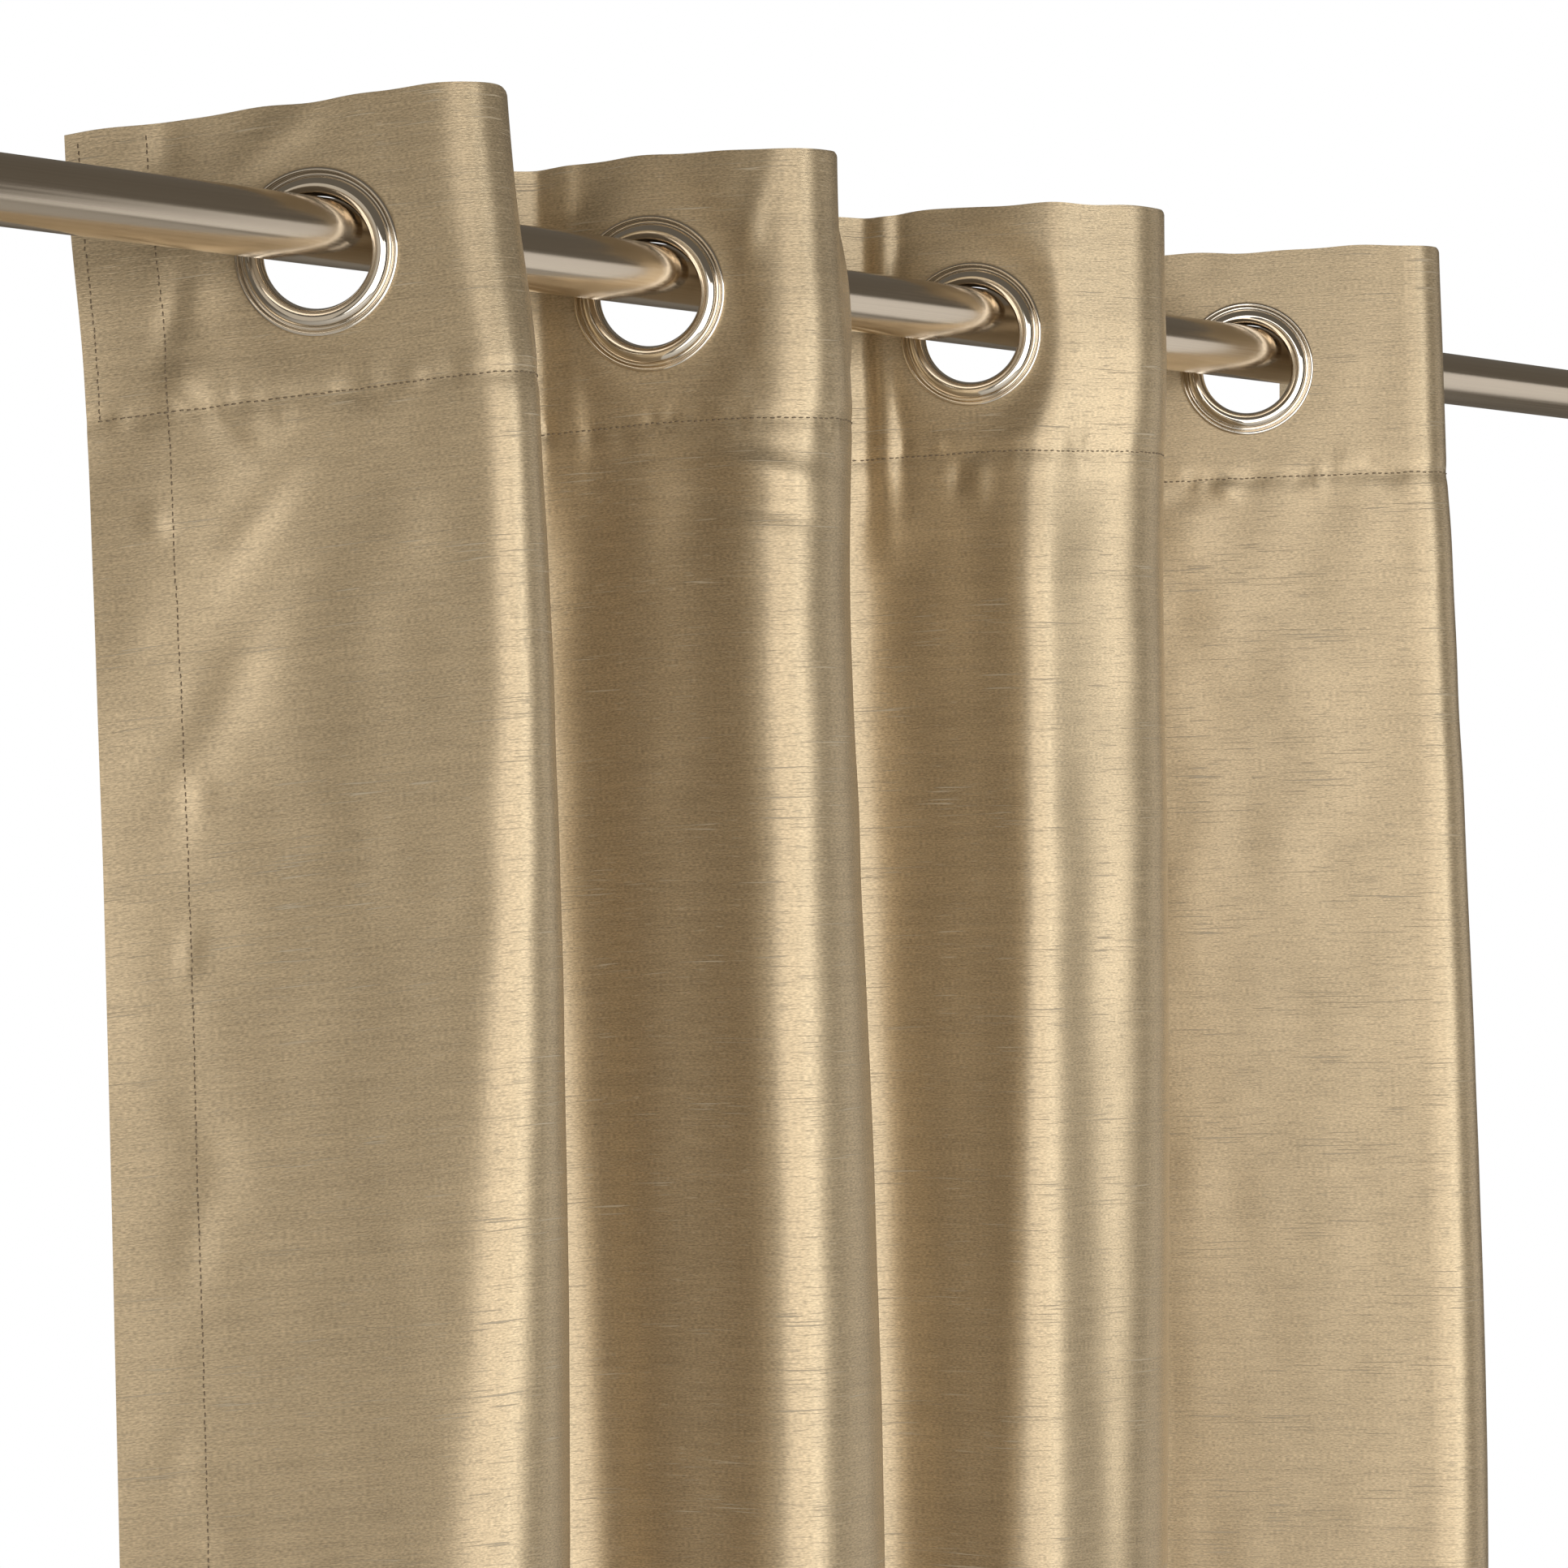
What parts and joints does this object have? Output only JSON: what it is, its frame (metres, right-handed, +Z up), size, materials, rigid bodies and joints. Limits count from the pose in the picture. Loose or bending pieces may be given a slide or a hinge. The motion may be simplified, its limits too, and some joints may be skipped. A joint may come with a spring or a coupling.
{
  "type": "eyelet curtain panel on a rod",
  "caption": "Faux-silk eyelet curtain panel hanging in pleats on a metal rod with end caps and wall brackets; the pleats fold to draw it open or shut.",
  "frame": {"origin": "centre of the left wall plate's back face, on the wall", "axes": "+X along the rod to the right, +Y into the wall, +Z up; the room is on the -Y side"},
  "size_m": [1.6066, 0.1894, 2.13],
  "materials": {
    "cloth": "satin slub weave",
    "tape": "stiff non-woven",
    "chrome": "polished",
    "nickel": "brushed lengthwise",
    "screws": "plated"
  },
  "bodies": {
    "rod": {"rod_tube": "nickel", "end_cap_left": "nickel", "end_cap_right": "nickel", "end_cap_screw_left": "screws", "end_cap_screw_right": "screws", "wall_plate_left": "nickel", "bracket_arm_left": "nickel", "rod_cradle_left": "nickel", "rod_screw_left": "nickel", "arm_screw_left": "screws", "wall_screw_left_1": "screws", "wall_screw_left_2": "screws", "wall_plate_right": "nickel", "bracket_arm_right": "nickel", "rod_cradle_right": "nickel", "rod_screw_right": "nickel", "arm_screw_right": "screws", "wall_screw_right_1": "screws", "wall_screw_right_2": "screws"},
    "face_1": {"cloth_face_1": "cloth", "header_tape_1": "tape", "eyelet_front_1": "chrome", "eyelet_back_1": "chrome"},
    "face_2": {"cloth_face_2": "cloth", "header_tape_2": "tape", "eyelet_front_2": "chrome", "eyelet_back_2": "chrome"},
    "face_3": {"cloth_face_3": "cloth", "header_tape_3": "tape", "eyelet_front_3": "chrome", "eyelet_back_3": "chrome"},
    "face_4": {"cloth_face_4": "cloth", "header_tape_4": "tape", "eyelet_front_4": "chrome", "eyelet_back_4": "chrome"},
    "face_5": {"cloth_face_5": "cloth", "header_tape_5": "tape", "eyelet_front_5": "chrome", "eyelet_back_5": "chrome"},
    "face_6": {"cloth_face_6": "cloth", "header_tape_6": "tape", "eyelet_front_6": "chrome", "eyelet_back_6": "chrome"},
    "face_7": {"cloth_face_7": "cloth", "header_tape_7": "tape", "eyelet_front_7": "chrome", "eyelet_back_7": "chrome"},
    "face_8": {"cloth_face_8": "cloth", "header_tape_8": "tape", "eyelet_front_8": "chrome", "eyelet_back_8": "chrome"}
  },
  "joints": [
    {"name": "draw_curtain", "type": "hinge", "parent": "rod", "child": "face_1", "pos_m": [0.24, -0.12, 0], "axis": [0, 0, -1], "range_deg": [-5, 20]},
    {"name": "fold_1", "type": "hinge", "parent": "face_1", "child": "face_2", "pos_m": [0.285, -0.17, 0], "axis": [0, 0, 1], "range_deg": [-10, 40]},
    {"name": "fold_2", "type": "hinge", "parent": "face_2", "child": "face_3", "pos_m": [0.375, -0.07, 0], "axis": [0, 0, -1], "range_deg": [-10, 40]},
    {"name": "fold_3", "type": "hinge", "parent": "face_3", "child": "face_4", "pos_m": [0.4715, -0.17, 0], "axis": [0, 0, 1], "range_deg": [-10, 40]},
    {"name": "fold_4", "type": "hinge", "parent": "face_4", "child": "face_5", "pos_m": [0.5745, -0.07, 0], "axis": [0, 0, -1], "range_deg": [-10, 40]},
    {"name": "fold_5", "type": "hinge", "parent": "face_5", "child": "face_6", "pos_m": [0.678, -0.17, 0], "axis": [0, 0, 1], "range_deg": [-10, 40]},
    {"name": "fold_6", "type": "hinge", "parent": "face_6", "child": "face_7", "pos_m": [0.782, -0.07, 0], "axis": [0, 0, -1], "range_deg": [-10, 40]},
    {"name": "fold_7", "type": "hinge", "parent": "face_7", "child": "face_8", "pos_m": [0.884, -0.17, 0], "axis": [0, 0, 1], "range_deg": [-10, 40]}
  ],
  "couplings": [
    {"joint": "fold_1", "follows": "draw_curtain", "ratio": 2},
    {"joint": "fold_2", "follows": "draw_curtain", "ratio": 2},
    {"joint": "fold_3", "follows": "draw_curtain", "ratio": 2},
    {"joint": "fold_4", "follows": "draw_curtain", "ratio": 2},
    {"joint": "fold_5", "follows": "draw_curtain", "ratio": 2},
    {"joint": "fold_6", "follows": "draw_curtain", "ratio": 2},
    {"joint": "fold_7", "follows": "draw_curtain", "ratio": 2}
  ]
}
